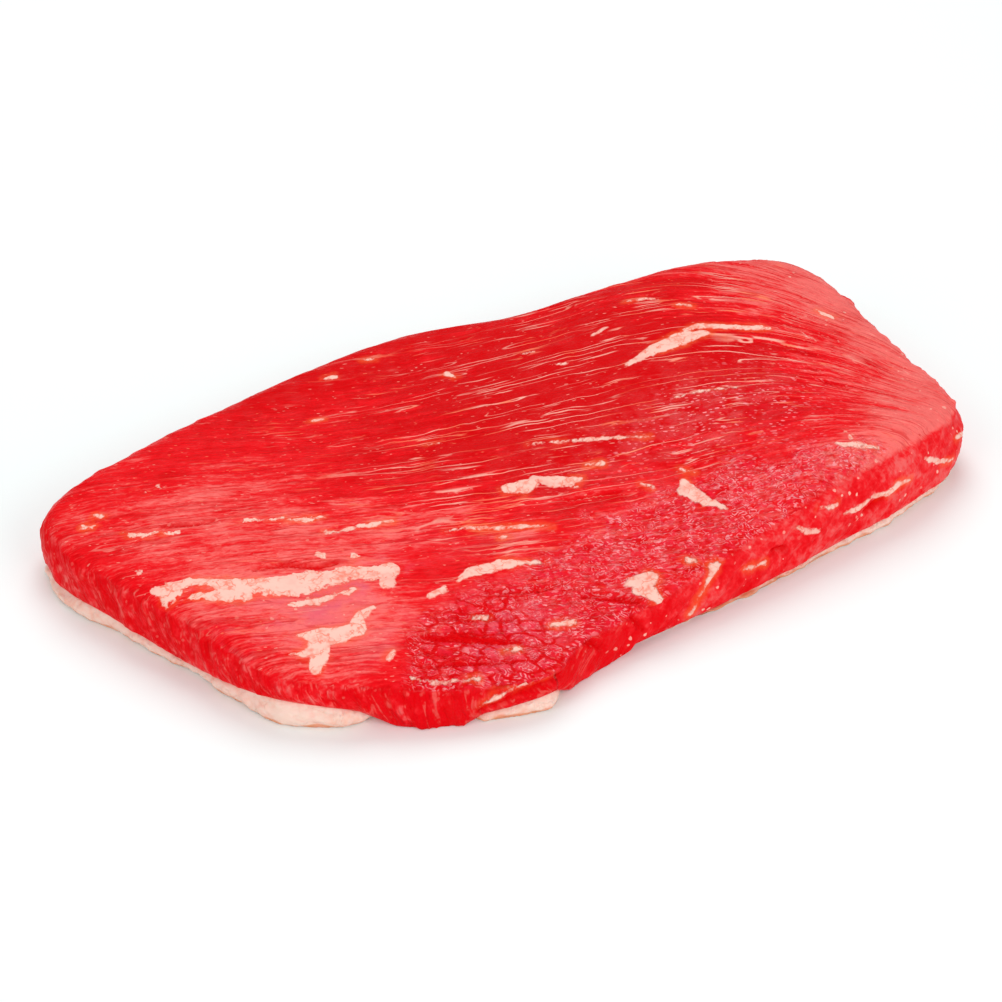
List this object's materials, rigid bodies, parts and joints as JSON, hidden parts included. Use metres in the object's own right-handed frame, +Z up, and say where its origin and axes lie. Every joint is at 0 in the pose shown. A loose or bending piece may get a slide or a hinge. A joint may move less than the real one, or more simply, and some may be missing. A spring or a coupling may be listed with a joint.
{
  "type": "raw beef brisket",
  "caption": "Raw beef brisket flat: a slab of red muscle with streaks of fat, lying lean side up on its pale fat cap, thick at one end and thin at the other",
  "frame": {"origin": "the middle of the slab's footprint, on the surface that the fat cap lies on", "axes": "+X along the slab towards its thick end, +Y across it towards the long side with no cut face, +Z up out of the lean face"},
  "size_m": [0.346, 0.21, 0.0405],
  "materials": {
    "lean_meat": "wet",
    "fat": "satin"
  },
  "bodies": {
    "root": {"lean_muscle": "lean_meat", "fat_cap": "fat"}
  },
  "joints": []
}
